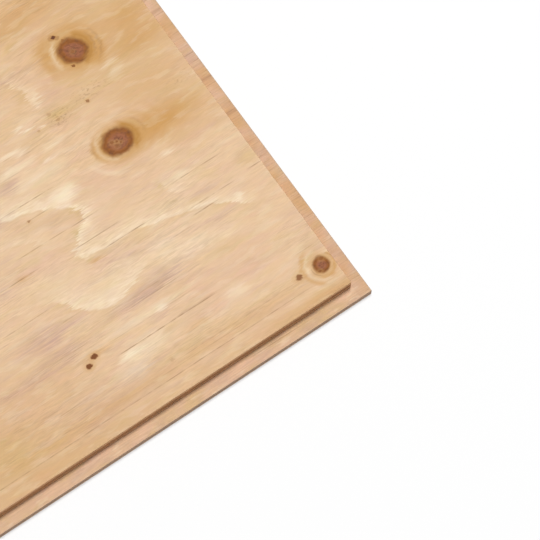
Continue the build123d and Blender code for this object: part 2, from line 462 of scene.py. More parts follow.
class Finish:
    """The node tree of a material, of the world or of a group, with short ways to add to it."""

    def __init__(self, owner):
        self.owner = owner
        self.tree = owner
        if not isinstance(owner, bpy.types.NodeTree):
            owner.use_nodes = True
            self.tree = owner.node_tree
        self.tree.nodes.clear()

    def node(self, kind, settings=None, inputs=None, output=0):
        """Adds a node of this type, with its settings and what its sockets hold. Gives one of its outputs."""
        made = self.tree.nodes.new(kind)
        for name, value in (settings or {}).items():
            if name == "curve":
                self.set_curve(made.mapping, value)
            else:
                setattr(made, name, value)
        for name, value in (inputs or {}).items():
            if isinstance(value, Wire):
                self.tree.links.new(value.socket, made.inputs[name])
            else:
                made.inputs[name].default_value = value
        return Wire(self, made.outputs[output])

    @staticmethod
    def set_curve(mapping, points):
        """Gives a float curve these points, whose places run from 0 to 1."""
        curve = mapping.curves[0]
        while len(curve.points) < len(points):
            curve.points.new(1.0, 1.0)
        for point, place in zip(curve.points, points):
            point.location = place
        mapping.update()

    @staticmethod
    def is_vector(value):
        """True for a vector's socket and for three numbers."""
        return value.socket.type == "VECTOR" if isinstance(value, Wire) else isinstance(value, tuple)

    def calculate(self, operation, *terms):
        """A Math node of these terms, or a Vector Math node if one of them is a vector."""
        if not any(self.is_vector(term) for term in terms):
            return self.node("ShaderNodeMath", {"operation": operation}, dict(enumerate(terms)))
        terms = [(term,) * 3 if isinstance(term, (int, float)) else term for term in terms]
        output = "Value" if operation == "DOT_PRODUCT" else "Vector"
        return self.node("ShaderNodeVectorMath", {"operation": operation}, dict(enumerate(terms)), output)

    def place(self):
        """X, Y and Z of the point being shaded, in millimetres in the sheet's own frame."""
        place = self.node("ShaderNodeTexCoord", output="Object") * MM
        return self.outputs(self.node("ShaderNodeSeparateXYZ", inputs={0: place}))

    def outputs(self, wire):
        """All outputs of the node that a wire comes from."""
        return [Wire(self, output) for output in wire.socket.node.outputs]

    def vector(self, x, y, z=0.0):
        """Three values as one vector."""
        return self.node("ShaderNodeCombineXYZ", inputs={0: x, 1: y, 2: z})

    def threefold(self, *values):
        """Each value as a vector of three times itself, to be compared with three features at once."""
        return [self.vector(value, value, value) for value in values]

    def tints(self, colour):
        """The red, the green and the blue of a colour."""
        return self.outputs(self.node("ShaderNodeSeparateColor", inputs={0: colour}))

    def colour(self, red, green, blue):
        """Three values as one colour."""
        return self.node("ShaderNodeCombineColor", inputs={0: red, 1: green, 2: blue})

    def mix(self, start, end, share, blend="MIX"):
        """From one colour to the other by this share, or the first blended with the second."""
        settings = {"data_type": "RGBA", "blend_type": blend}
        share = share.most(0.0).least(1.0) if isinstance(share, Wire) else share
        pair = [(*c, 1.0) if isinstance(c, tuple) else c for c in (start, end)]
        return self.node("ShaderNodeMix", settings, {0: share, 6: pair[0], 7: pair[1]}, 2)

    def brightened(self, colour, *amounts):
        """The colour times these amounts of red, green and blue."""
        return self.mix(colour, self.colour(*amounts), 1.0, "MULTIPLY")

    def noise(self, u, v, grain, seed=0):
        """Smooth random values round 0.5, in patches as long and wide as the grain says."""
        number = grain.seed + seed
        along = u / grain.long + SEED_SHIFT.along * number
        return self.noise_at(self.vector(along, v / grain.wide - SEED_SHIFT.across * number), grain)

    def plain_noise(self, grain, seed=0):
        """The same over the face's own u and v, which one Mapping node finds straight from the place."""
        number = grain.seed + seed
        shift = (
            FACE_END / grain.long + SEED_SHIFT.along * number,
            -FACE_EDGE / grain.wide - SEED_SHIFT.across * number,
            0.0,
        )
        place = self.node("ShaderNodeTexCoord", output="Object")
        scale = (-MM / grain.long, MM / grain.wide, 0.0)
        return self.noise_at(self.node("ShaderNodeMapping", inputs={0: place, 1: shift, 3: scale}), grain)

    def noise_at(self, place, grain):
        """A noise node's value at this place, with the grain's detail and roughness."""
        sockets = {"Vector": place, "Scale": 1.0, "Detail": grain.detail, "Roughness": grain.rough}
        return self.node("ShaderNodeTexNoise", {"noise_dimensions": "2D"}, sockets)

    def patches(self, u, v, patch, seed=0):
        """Patches of tone: where the noise passes from the patch's start to its full value, 0 to its pull."""
        return self.noise(u, v, patch.grain, seed).ramp(patch.start, patch.full) * patch.pull

    def line(self, along, points):
        """The value at this place of a smooth line through the points, which are (along, value)."""
        places, values = np.array(points, float).T
        low, high = values.min(), values.max()
        unit = np.stack([(places - places[0]) / np.ptp(places), (values - low) / (high - low)], 1)
        share = (along - places[0]) / np.ptp(places)
        curve = self.node("ShaderNodeFloatCurve", {"curve": unit.tolist()}, {"Factor": 1.0, "Value": share})
        return curve * (high - low) + low

    def surface(self, colour, roughness, height, relief):
        """Ends the tree in a Principled shader, whose bump is height times relief, in millimetres."""
        bump = {"Strength": 1.0, "Distance": relief / MM, "Height": height}
        normal = self.node("ShaderNodeBump", inputs=bump)
        sockets = {"Base Color": colour, "Roughness": roughness, "Normal": normal, "Specular IOR Level": 0.3}
        self.show(self.node("ShaderNodeBsdfPrincipled", inputs=sockets))
        return self.owner

    def show(self, shader):
        """Links the shader to the output of a material's or a world's tree."""
        kind = "World" if isinstance(self.owner, bpy.types.World) else "Material"
        self.tree.links.new(shader.socket, self.tree.nodes.new("ShaderNodeOutput" + kind).inputs["Surface"])


SOCKETS = {"VALUE": "NodeSocketFloat", "VECTOR": "NodeSocketVector", "RGBA": "NodeSocketColor"}


def grouped(pattern):
    """Puts a pattern's nodes into a node group, named after it. Its wires become the group's inputs."""
    def add_sockets(tree, way, wires):
        for number, wire in enumerate(wires):
            name, kind = f"{way.lower()} {number}", SOCKETS[wire.socket.type]
            tree.interface.new_socket(name, in_out=way, socket_type=kind)

    def placed(finish, *values):
        tree = bpy.data.node_groups.new(pattern.__name__, "ShaderNodeTree")
        inner = Finish(tree)
        wires = [value for value in values if isinstance(value, Wire)]
        add_sockets(tree, "INPUT", wires)
        given = iter(tree.nodes.new("NodeGroupInput").outputs)
        inner_values = [Wire(inner, next(given)) if isinstance(value, Wire) else value for value in values]
        found = pattern(inner, *inner_values)
        found = found if isinstance(found, tuple) else (found,)
        add_sockets(tree, "OUTPUT", found)
        end = tree.nodes.new("NodeGroupOutput")
        for wire, socket in zip(found, end.inputs):
            tree.links.new(wire.socket, socket)
        made = finish.outputs(finish.node("ShaderNodeGroup", {"node_tree": tree}, dict(enumerate(wires))))
        return tuple(made) if len(made) > 1 else made[0]

    return placed


def in_threes(rows, spare):
    """A feature list's rows by threes, each field as a tuple of three. Spare rows fill up the last three."""
    rows = list(rows) + [spare] * (-len(rows) % 3)
    return [[tuple(map(float, field)) for field in zip(*rows[i : i + 3])] for i in range(0, len(rows), 3)]


def photographed(u, v):
    """1 in the corner of the face that is drawn from its listed features, 0 beyond it."""
    past_left = u + v * PAST_LEFT.slope - PAST_LEFT.start
    past_top = v - u * PAST_TOP.slope - PAST_TOP.start
    return past_left.most(past_top).step(*CORNER_FADE)


@grouped
def chance_knot(finish, u, v, spacing, largest, share, seed, drawn):
    """The nearest knot of a loose random grid: the place of its middle, and its radius. A share of the
    cells holds one, of any size up to the largest. The others, and those in a drawn corner, have no size to
    speak of."""
    along_shift, across_shift = CELL_SHIFT.along * seed, CELL_SHIFT.across * seed
    at = finish.vector(u / spacing + along_shift, v / spacing - across_shift)
    sockets = {"Vector": at, "Scale": 1.0, "Randomness": 0.8}
    near = finish.node("ShaderNodeTexVoronoi", {"voronoi_dimensions": "2D"}, sockets, "Position")
    across, up, _ = finish.outputs(finish.node("ShaderNodeSeparateXYZ", inputs={0: near}))
    u0, v0 = (across - along_shift) * spacing, (up + across_shift) * spacing
    luck, _, _ = finish.tints(near.other("Color"))
    size = (luck - (1 - share)).most(0.0) * (largest / share)
    if drawn:
        size = size * photographed(u0, v0).step(0.1, 0.0)
    return u0, v0, size + 0.01


@grouped
def parted(finish, u, v, u0, v0, radius):
    """How far the fibres move across the grain as they part round a knot, like water round a post.

    That is dv R^2 / (R^2 + d^2) times a fade to nothing where d is 90 mm. du and dv run from the knot's
    middle along and across the grain, d^2 is 0.45 du^2 + dv^2, and R^2 is 1.4 times the radius squared.
    """
    fade_end = 90.0
    ahead, aside = u - u0, v - v0
    size = radius * radius * 1.4 + 0.01
    apart = ahead * ahead * 0.45 + aside * aside
    return aside * size / (apart + size) * (1 - apart / fade_end**2).most(0.0)


@grouped
def check_lines(finish, u, v, listed):
    """How dark the listed checks make a place, 0 to about 1.

    A check is 1 on its line and 0 half a millimetre off it, times a ramp at each of its ends. It wanders a
    little, and is fainter where it breaks off.
    """
    half_width, end_fade = 0.5, 8.0
    wander = finish.plain_noise(DRAWN_CHECK_WANDER) - 0.5
    broken = finish.plain_noise(DRAWN_CHECK_BREAKS).ramp(0.3, 0.6) * 0.7 + 0.3
    all_u, all_v = finish.threefold(u, v + wander)
    dark = 0.0
    for vs, starts, ends, darks in in_threes(listed, NO_CHECK):
        near = 1 - abs(all_v - vs) / half_width
        inside = (all_u - starts).least(ends - all_u) / end_fade
        dark = (near.most(0.0) * inside.most(0.0).least(1.0)).dot(darks) + dark
    return dark * broken


@grouped
def stains(finish, u, v, listed):
    """The pull of soft oval stains: each is (1 - q)^2 of its strength, where q is 1 on the oval's outline."""
    all_u, all_v = finish.threefold(u, v)
    pull = 0.0
    for us, vs, alongs, acrosses, pulls in in_threes(listed, NO_STAIN):
        ahead = (all_u - us) / alongs
        aside = (all_v - vs) / acrosses
        inside = (1 - (ahead * ahead + aside * aside)).most(0.0)
        pull = (inside * inside).dot(pulls) + pull
    return pull


@grouped
def arcs(finish, u, v, listed):
    """The pull of arcs round the knots.

    With q 1 on the arc's oval, each is 1 - |q^2 - 1| times its mean radius over twice its half width, where
    that is above 0, times a ramp from each end of its spread.
    """
    end_slope = 4.0
    rows = []
    for u0, v0, along, across, facing, spread, width, pull in listed:
        facing, spread = math.radians(facing), math.radians(spread)
        thin = (along + across) / (4 * width)
        rows.append((u0, v0, along, across, math.cos(facing), math.sin(facing), math.cos(spread), thin, pull))
    all_u, all_v = finish.threefold(u, v)
    pull = 0.0
    for us, vs, alongs, acrosses, cosines, sines, limits, thins, pulls in in_threes(rows, NO_ARC):
        ahead = (all_u - us) / alongs
        aside = (all_v - vs) / acrosses
        near = 1 - abs(ahead * ahead + aside * aside - 1) * thins
        inside = (ahead * cosines + aside * sines - limits) * end_slope
        pull = (near.most(0.0) * inside.most(0.0).least(1.0)).dot(pulls) + pull
    return pull


@grouped
def speck_marks(finish, u, v, listed):
    """How dark the pin knots make a place, and the pull of their faint halos.

    With d the distance from its middle over its radius, and 0.85 of that along the grain, a pin knot is
    1.6 - d^2, held between 0 and 1, times its darkness. Its halo is 1 - d^2 / 7 where that is above 0.
    """
    ragged = finish.plain_noise(RAGGED) - 0.5
    all_u, all_v = finish.threefold(u + ragged * 2.2, v + ragged * 1.4)
    dark, halo = 0.0, 0.0
    for us, vs, radii, darks in in_threes(listed, NO_SPECK):
        ahead = (all_u - us) / radii * 0.85
        aside = (all_v - vs) / radii
        apart = ahead * ahead + aside * aside
        dark = (1.6 - apart).most(0.0).least(1.0).dot(darks) + dark
        halo = (1 - apart / 7.0).most(0.0).dot(darks) + halo
    return dark, halo


@grouped
def figure_bands(finish, u, v, rises, sides):
    """Strength of the pale wood beside the listed sharp edges, and of the darker wood just before them.

    The pale wood is nothing before its edge, full just past it, and then fades as e^(-off / reach).
    """
    dark_fade = 0.3
    pale, dark = 0.0, 0.0
    for along, across, figures, sign in ((u, v, rises, 1), (v, u, sides, -1)):
        for points, reach, strength, faint in figures:
            off = (across - finish.line(along, points)) * sign
            window = (along - points[0][0]).least(points[-1][0] - along).step(-3.0, faint) * strength
            fade = finish.calculate("EXPONENT", off.most(0.0) * (-1 / reach))
            pale = (fade * off.step(-1.0, 1.4) * window).most(pale)
            before = finish.calculate("EXPONENT", off.least(0.0) * dark_fade) * off.ramp(0.4, -0.4)
            dark = (before * window).most(dark)
    return pale, dark


@grouped
def wild_figure(finish, u, v, serrated, seed):
    """Pale wood of the rest of the sheet: the sharp contour lines of a smooth random field, fading softly.

    The field counts growth rings, so its fraction is 0 on each ring's edge and rises to 1 at the next. The
    pale wood is e^(-3 of that fraction), and it shows where slower noise is high.
    """
    rings, fade = 9.0, -3.0
    ring = finish.calculate("FRACT", finish.noise(serrated, v, FIGURE, seed) * rings)
    strong = finish.noise(u, v, FIGURE_SHOWS, seed).ramp(0.32, 0.66)
    return finish.calculate("EXPONENT", ring * fade) * ring.ramp(0.0, 0.05) * strong


@grouped
def wild_checks(finish, u, v, seed):
    """Checks of the rest of the sheet. Rows a few millimetres apart each hold one line at a random height,
    where slow noise of that row's own is high."""
    row_height, half_width, row_shift = 7.0, 0.5, 51.7
    rows = (v + finish.noise(u, v, CHECK_WANDER, seed) * 2.4) / row_height
    row = finish.calculate("FLOOR", rows)
    chance = finish.node("ShaderNodeTexWhiteNoise", {"noise_dimensions": "1D"}, {"W": row})
    off = abs(finish.calculate("FRACT", rows) - chance * 0.8 - 0.1) * row_height
    there = finish.noise(u, row * row_shift, CHECK_SHOWS, seed).ramp(0.6, 0.7)
    return (1 - off / half_width).most(0.0) * there


@grouped
def knot_colours(finish, wood, u, v, u0, v0, radius, uneven, mottle, cracks, knot, tone):
    """Lays one knot over the wood, by the share of its uneven radius: a mottled red heart with cracks round
    its pith, a brown rim from about 0.7 that ends in the wood from 0.8 to 1.2, amber to 1.4 at its two
    ends, and a golden halo that is gone at 1.8."""
    aside = (v - v0) / radius
    ahead = ((u - u0) / radius - aside * knot.lean) * (1 / knot.stretch)
    apart = ahead * ahead + aside * aside
    share = finish.calculate("SQRT", apart) + uneven * 0.34
    rings = finish.calculate("SINE", (share + uneven * 0.3) * 26.0)
    heart = finish.mix(tone.heart, tone.ring, share.step(0.45, 0.75))
    mottled = mottle.ramp(0.46, 0.66) * 0.35 + rings * 0.1 + share.step(0.6, 0.9) * 0.2
    heart = finish.mix(heart, tone.bark, mottled)
    heart = finish.mix(heart, tone.bark, (cracks * 0.6 + 0.2) * share.step(0.7, 0.15))
    ends = ahead * ahead / (apart + 0.01)
    strength = ends * (knot.halo - knot.around) + knot.around
    halo = (share.step(1.8, 1.25) * 0.6 + share.step(1.4, 1.0) * 0.4) * strength
    wood = finish.mix(wood, tone.gold, halo * (rings * 0.14 + 1))
    wood = finish.mix(wood, tone.amber, share.step(1.4, 1.0) * ends * knot.halo * 0.7)
    return finish.mix(wood, heart, share.step(1.22, 0.82))


def lie_of_grain(finish, seed, drawn):
    """Where a point of a veneer lies in its grain.

    u and v run along and across it. flow is v with the fibres that part round knots laid straight, and
    bent_u and bent_v are u and flow moved by chance, so that nothing has a clean outline. here is 1 in the
    drawn corner, and wild is what it leaves. Each knot is its middle, its radius and its form.
    """
    x, y, _ = finish.place()
    u, v = FACE_END - x, y - FACE_EDGE
    here = photographed(u, v) if drawn else 0.0
    wild = 1 - here
    large, small = (
        (*chance_knot(finish, u, v, *chance, seed + number, drawn), CHANCE_FORM)
        for number, chance in enumerate(CHANCE_KNOTS)
    )
    listed = [(*knot[:3], knot) for knot in KNOTS] if drawn else []
    flow = v
    for knot in (large, *listed):
        flow = flow - parted(finish, u, v, *knot[:3])
    along_bend, across_bend, _ = finish.tints(finish.plain_noise(BEND, seed).other("Color"))
    streaks = finish.noise(u, flow, STREAKS, seed) - 0.5
    bent_u = u + (along_bend - 0.5) * 8 + streaks * 13
    bent_v = flow + (across_bend - 0.5) * 4 + streaks * 3
    return SimpleNamespace(
        u=u, v=v, flow=flow, bent_u=bent_u, bent_v=bent_v, across_bend=across_bend, streaks=streaks,
        here=here, wild=wild, knots=(large, small, *listed),
    )


def fibres_of(finish, at, seed, drawn):
    """Fibres of three sizes, each from about -0.5 to 0.5, dark hairs, how busy they are, and tints."""
    calm = stains(finish, at.u, at.v, CALM) if drawn else 0.0
    busy = (finish.plain_noise(BUSY, seed).ramp(0.34, 0.64) - calm).most(0.0) * 0.8 + 0.2
    return SimpleNamespace(
        busy=busy,
        fine=finish.noise(at.u, at.flow + at.across_bend * 1.5, FINE, seed) - 0.5,
        coarse=finish.noise(at.u, at.bent_v, COARSE, seed) - 0.5,
        fuzz=finish.noise(at.u, at.flow + at.across_bend * 3, FUZZ, seed) - 0.5,
        tints=finish.tints(finish.noise(at.u, at.bent_v, TINTS, seed).other("Color")),
        hairs=finish.noise(at.u, at.flow, HAIRS, seed).ramp(0.6, 0.76) * busy,
    )


def shares_of(finish, at, fibres, seed, drawn):
    """How far each hue pulls at the wood, and how dark its checks and close specks are."""
    loose = 1 - at.here * 0.5 if drawn else 1.0
    pull = {hue: finish.patches(at.bent_u, at.bent_v, patch, seed) * loose for hue, patch in PATCHES.items()}
    pull["gold"] = finish.patches(at.bent_u, at.flow, GOLD_DRIFTS, seed) * at.wild
    pale = wild_figure(finish, at.u, at.flow, at.bent_u, seed) * at.wild
    dark = wild_checks(finish, at.u, at.flow, seed) * at.wild * 0.6
    if drawn:
        for hue, listed in STAINS.items():
            pull[hue] = stains(finish, at.bent_u, at.bent_v, listed) + pull[hue]
        drawn_pale, drawn_dark = figure_bands(finish, at.bent_u, at.bent_v, RISES, SIDES)
        pale = pale.most(drawn_pale * at.here)
        pull["olive"] = drawn_dark * at.here * 0.4 + pull["olive"]
        pull["mauve"] = pull["mauve"] * (at.streaks * 4 + 1).most(0.0)
        speckled = finish.plain_noise(SPECKLES, seed).ramp(0.56, 0.68) * stains(finish, at.u, at.v, SPECKLED)
        dark = check_lines(finish, at.u, at.v, CHECKS) * at.here + dark + speckled * 0.65
    pull["cream"] = pull["cream"].most(pale * (fibres.fine * 1.6 + fibres.fuzz + 1))
    return pull, dark


def add_knots(finish, wood, at, fibres, tone, seed, drawn):
    """Lays the knots over the wood, and in the drawn corner the arcs round them and the pin knots."""
    uneven = finish.plain_noise(UNEVEN, seed) - 0.5
    cracks = finish.plain_noise(CRACKS, seed).ramp(0.52, 0.64)
    blotches = finish.plain_noise(BLOTCHES, seed)
    for u0, v0, radius, form in at.knots:
        wood = knot_colours(finish, wood, at.u, at.v, u0, v0, radius, uneven, blotches, cracks, form, tone)
    if drawn:
        for hue, listed in ARCS.items():
            pull = arcs(finish, at.u + fibres.fuzz * 3, at.v + fibres.fuzz * 3, listed)
            wood = finish.mix(wood, getattr(tone, hue), pull)
        dark, halo = speck_marks(finish, at.u, at.v, SPECKS)
        wood = finish.mix(wood, tone.gold, halo * 0.5)
        wood = finish.mix(wood, tone.ring, dark)
        wood = finish.mix(wood, tone.bark, dark * dark * 0.55)
    return wood


def veneer(name, tone, main, seed, drawn):
    """A face of rotary-cut pine: fibres, growth rings with sharp pale edges, checks along the grain, and
    knots. Where it is drawn, its near corner follows the listed features, and elsewhere all is by chance."""
    finish = Finish(bpy.data.materials.new(name))
    at = lie_of_grain(finish, seed, drawn)
    fibres = fibres_of(finish, at, seed, drawn)
    fine, coarse, fuzz, hairs, busy = fibres.fine, fibres.coarse, fibres.fuzz, fibres.hairs, fibres.busy
    pull, dark = shares_of(finish, at, fibres, seed, drawn)
    wood = main
    for hue in HUES:
        wood = finish.mix(wood, getattr(tone, hue), pull[hue])
    bright = (fine * 0.31 + coarse * 0.16) * busy + fuzz * (busy * 0.16 + 0.08) - hairs * 0.12 + 1
    varied = [(tint - 0.5) * share + bright for tint, share in zip(fibres.tints, (0.06, 0.06, 0.18))]
    wood = finish.mix(finish.brightened(wood, *varied), tone.check, dark)
    wood = add_knots(finish, wood, at, fibres, tone, seed, drawn)
    height = fine * 0.7 + coarse * 0.5 + fuzz * 0.4 - hairs * 0.4
    return finish.surface(wood, fine * 0.2 + 0.7, height, 0.12)


def lap_ledge(tone):
    """The routed ledges: the third ply's grain with a few brown marks and checks, more golden and greyer on
    the end's underlap, whose outer rim is darkened with a painted grey shade."""
    finish = Finish(bpy.data.materials.new("routed_lap"))
    x, y, _ = finish.place()
    at_end = (x - FACE_END).ramp(0.0, 1.0)
    pull = {hue: finish.patches(x, y, patch) for hue, patch in LEDGE_PATCHES.items()}
    pull["mauve"] = pull["mauve"] + at_end * 0.3
    pull["gold"] = pull["gold"] * at_end
    wood = tone.ledge
    for hue, share in pull.items():
        wood = finish.mix(wood, getattr(tone, hue), share)
    across = finish.threefold(y - FACE_EDGE)[0]
    marks = (1 - abs(across - LEDGE_MARKS) / MARK_HALF_WIDTH).most(0.0).dot((1.0, 1.0, 1.0)) * at_end
    streaks = finish.patches(x, y, LEDGE_STREAKS) * (at_end * 0.6 + 0.2)
    marks = marks * 0.7 + wild_checks(finish, x, y, LEDGE_SEED) + streaks
    wood = finish.mix(wood, tone.check, marks * 0.5)
    fine = finish.noise(x, y, LEDGE_FINE) - 0.5
    bright = fine * 0.36 + (finish.noise(x, y, LEDGE_CLOUDS) - 0.5) * 0.16 + 1
    # Painted shade: the outer millimetre of the end's underlap is pulled halfway towards a grey
    rim = (x - (HIGH.x * MM - 1.0)).ramp(0.0, 0.8)
    wood = finish.mix(finish.brightened(wood, bright, bright, bright), tone.grey, rim * 0.5)
    return finish.surface(wood, 0.78, fine - marks, 0.15)


def sawn_edge(tone, plies, name, along_axis, first_ends):
    """A sawn edge: plies in turn show their side grain and their end grain, with a thin dark glue line
    between, dark streaks along it, and the part below the ledge darkened with a painted grey shade."""
    glue_half_width = 0.3
    finish = Finish(bpy.data.materials.new(name))
    place = finish.place()
    along, level = place[along_axis], place[2]
    ply = level * (plies / THICKNESS)
    ends = finish.calculate("FRACT", (ply + first_ends) / 2.0).ramp(0.49, 0.51)
    fibres = finish.noise(along, level, EDGE_FIBRES)
    pores = finish.noise(along, level, EDGE_PORES)
    side = finish.mix(tone.edge_side, tone.edge_end, fibres.ramp(0.35, 0.75))
    end = finish.mix(tone.edge_end, tone.glue, pores.ramp(0.4, 0.8) * 0.6)
    off = abs(finish.calculate("FRACT", ply + 0.5) - 0.5) * (THICKNESS / plies)
    glue = off.step(glue_half_width, 0.1) * 0.75
    stained = finish.patches(along, level, EDGE_STREAKS)
    wood = finish.mix(finish.mix(side, end, ends), tone.glue, glue.most(stained))
    # Painted shade: below the ledge's level the edge is pulled halfway towards a grey
    below = level.ramp(LEDGE_LEVEL * MM + 0.1, LEDGE_LEVEL * MM - 0.1)
    wood = finish.mix(wood, tone.grey, below * 0.5)
    return finish.surface(wood, 0.8, fibres * 0.5 + pores * ends - glue, 0.2)


# The mesh's lattice: how many lines a lid's rim strip has, and every how many of the rest its middle takes
RIM_LINES = 4
MIDDLE_EVERY = 6

# Stretch over which the inner corners' rounds run out, and faces that meet at more than this angle look sharp
RUN_OUT = 0.004
SHARP_ANGLE = math.radians(35)

# The bake map, in shares of its side: its margin, the rows of the face, of the back and of the four edges'
# strips, and the share of its width and height that ends at the finely divided corner
MAP_MARGIN = 0.004
FACE_ROWS = SimpleNamespace(base=0.31, height=0.685)
BACK_ROWS = SimpleNamespace(base=0.085, height=0.215)
EDGE_ROWS = SimpleNamespace(base=0.004, step=0.0195, height=0.0175)
CORNER_SHARES = (0.58, 0.45)


class BakeMap:
    """Where the sheet's places lie on its bake map. The finely divided corner has more than its share."""

    def __init__(self, stretch):
        self.bends = (UPPER.high[0] - stretch, UPPER.low[1] + stretch)

    def share(self, axis, place):
        """0 to 1 over the sheet's length or width, bent where the corner's finely divided stretch begins."""
        return np.interp(place, [LOW[axis], self.bends[axis], HIGH[axis]], [0, CORNER_SHARES[axis], 1])

    @staticmethod
    def spot(across, up):
        """Places on the map inside its margins."""
        return np.stack([MAP_MARGIN + (1 - 2 * MAP_MARGIN) * across, up], 1)

    def face(self, x, y):
        """The face, upright on the map."""
        return self.spot(self.share(0, x), FACE_ROWS.base + FACE_ROWS.height * self.share(1, y))

    def back(self, x, y):
        """The back, turned so that its width runs across the map."""
        up = BACK_ROWS.height * (x - LOW.x) / (HIGH.x - LOW.x)
        return self.spot((y - LOW.y) / (HIGH.y - LOW.y), BACK_ROWS.base + up)

    def edge(self, row, axis, start, sign, swapped=False):
        """A chart for one side's edge: its length across the map, and its unrolled height from this start."""
        scale = EDGE_ROWS.height / (HIGH.z + LAP + OVERLAP_LEVEL - LEDGE_LEVEL)
        base = EDGE_ROWS.base + EDGE_ROWS.step * row

        def chart(a, b):
            along, off = (b, a) if swapped else (a, b)
            return self.spot(self.share(axis, along), base + scale * (start + sign * off))

        return chart


def stations(stops, steps):
    """Places from the first stop to the last, in equal parts no longer than each stretch's own step."""
    counts = [max(1, math.ceil((b - a) / step - SAME)) for a, b, step in zip(stops, stops[1:], steps)]
    parts = [np.linspace(a, b, n, endpoint=False) for a, b, n in zip(stops, stops[1:], counts)]
    return np.concatenate([*parts, stops[-1:]])


def edge_lines(low, high, middle, sizes):
    """All lattice lines of one direction: close ones inside each of the four edges, and the middle's."""
    rim = np.array([0, sizes.arris / 2, sizes.arris, sizes.rim])
    rims = [low + rim, low + LAP + rim, high - LAP - rim, high - rim]
    return np.unique(snapped(np.concatenate([*rims, middle])))


def level_lines(low, high, sizes):
    """Lattice lines up one half of the edge: an arris at each end, and three lines round each glue line."""
    arris = np.array([0, sizes.arris / 2, sizes.arris])
    ply = HIGH.z / sizes.plies
    glue = np.arange(1, sizes.plies) * ply
    glue = glue[(glue > low + sizes.rim) & (glue < high - sizes.rim)]
    close = (glue[:, None] + np.array([-0.1, 0, 0.1]) * ply).ravel()
    halfway = (glue[:, None] + np.array([-0.5, 0.5]) * ply).ravel()
    halfway = halfway[(halfway > low + sizes.rim) & (halfway < high - sizes.arris)]
    return np.unique(snapped(np.concatenate([low + arris, high - arris, close, halfway, [high - sizes.rim]])))


def within(lines, low, high):
    """The lines from low to high, both among them."""
    return lines[(lines >= low - SAME) & (lines <= high + SAME)]


class Shell:
    """Flat patches of the sheet's surface with their places on the bake map, to be welded into one mesh."""

    def __init__(self):
        self.points, self.maps, self.blocks, self.slots = [], [], [], []
        self.count = 0

    def add(self, points, places, blocks, slot, turned):
        """Adds a patch: its points, their places on the map, its blocks of faces and its material's slot."""
        self.points.append(points)
        self.maps.append(places)
        self.blocks += [(block[:, ::-1] if turned else block) + self.count for block in blocks]
        self.slots += [slot] * sum(len(block) for block in blocks)
        self.count += len(points)

    def grid(self, first, second, lay, chart, slot, turned):
        """A patch of quads over two sets of lines, which lay turns into points and chart into map places."""
        a, b = (part.ravel() for part in np.meshgrid(first, second, indexing="ij"))
        index = np.arange(len(a)).reshape(len(first), len(second))
        corners = (index[:-1, :-1], index[1:, :-1], index[1:, 1:], index[:-1, 1:])
        self.add(lay(a, b), chart(a, b), [np.stack(corners, -1).reshape(-1, 4)], slot, turned)


def plane(axis, level):
    """Lays two places on the plane across this axis at this level, the other two axes in order."""
    def lay(a, b):
        return np.insert(np.stack([a, b], 1), axis, level, axis=1)

    return lay


def build_lid(shell, x_lines, y_lines, level, chart, slot, turned):
    """The face or the back: rim strips, a wide grid inside, and faces between the two.

    Each close station on the rim is tied to the nearest station of the wide grid: two neighbours that share
    theirs make a triangle with it, and two that don't make a quad with both.
    """
    lay = plane(2, level)
    inner = [lines[RIM_LINES - 1 : 1 - RIM_LINES] for lines in (x_lines, y_lines)]
    for a, b in (
        (x_lines, y_lines[:RIM_LINES]),
        (x_lines, y_lines[-RIM_LINES:]),
        (x_lines[:RIM_LINES], inner[1]),
        (x_lines[-RIM_LINES:], inner[1]),
    ):
        shell.grid(a, b, lay, chart, slot, turned)
    inset = RIM_LINES + MIDDLE_EVERY
    middle = [lines[inset:-inset:MIDDLE_EVERY] for lines in inner]
    shell.grid(*middle, lay, chart, slot, turned)
    for axis, end in ((0, 0), (1, -1), (0, -1), (1, 0)):
        close, wide = inner[axis], middle[axis]
        levels = [inner[1 - axis][end], middle[1 - axis][end]]
        along = np.concatenate([close, wide])
        across = np.repeat(levels, [len(close), len(wide)])
        pair = (along, across) if axis == 0 else (across, along)
        nearest = np.abs(close[:, None] - wide).argmin(1) + len(close)
        station = np.arange(len(close) - 1)
        shared = nearest[1:] == nearest[:-1]
        three = np.stack([station, station + 1, nearest[:-1]], 1)[shared]
        four = np.stack([station, station + 1, nearest[1:], nearest[:-1]], 1)[~shared]
        outward = turned != ((axis == 0) == (end == -1))
        shell.add(lay(*pair), chart(*pair), [three, four], slot, outward)


def ease_corners(points, half, radius, over, under):
    """How far the sharp corners of one half are drawn in to a round of this radius.

    n is how far a point stands past the half made smaller by the radius, and m is n's largest part. The
    point moves by n (m / |n| - 1), which leaves flat places alone and puts an edge on its arc. over and
    under scale the rounding at the top and the bottom.
    """
    past_high = np.maximum(points - (half.high - radius), 0)
    past_low = np.maximum(half.low + radius - points, 0)
    past_high[:, 2] *= over
    past_low[:, 2] *= under
    past = past_high - past_low
    largest = np.abs(past).max(1)
    length = np.maximum(np.linalg.norm(past, axis=1), SAME)
    return past * (np.where(largest > 0, largest / length, 1) - 1)[:, None]


def uneven_edge(along, step, seed):
    """Random heights from 0 to 1 every step along an edge, joined by straight lines."""
    knots = np.arange(along.min(), along.max() + 2 * step, step)
    return np.interp(along, knots, np.random.default_rng(seed).uniform(0, 1, len(knots)))


# Wear of the sawn edges: half width of a glue groove in plies, the spacing in metres and the seed of the
# end grain's changes, of shallow nicks and of deep ones, and how much of the tear shows along the grain
GROOVE_WIDTH = 0.07
END_GRAIN_WEAR = SimpleNamespace(step=0.003, seed=200)
SHALLOW_WEAR = SimpleNamespace(step=0.004, seed=400)
DEEP_WEAR = SimpleNamespace(step=0.002, seed=600)
TEAR_ALONG_GRAIN = 0.35


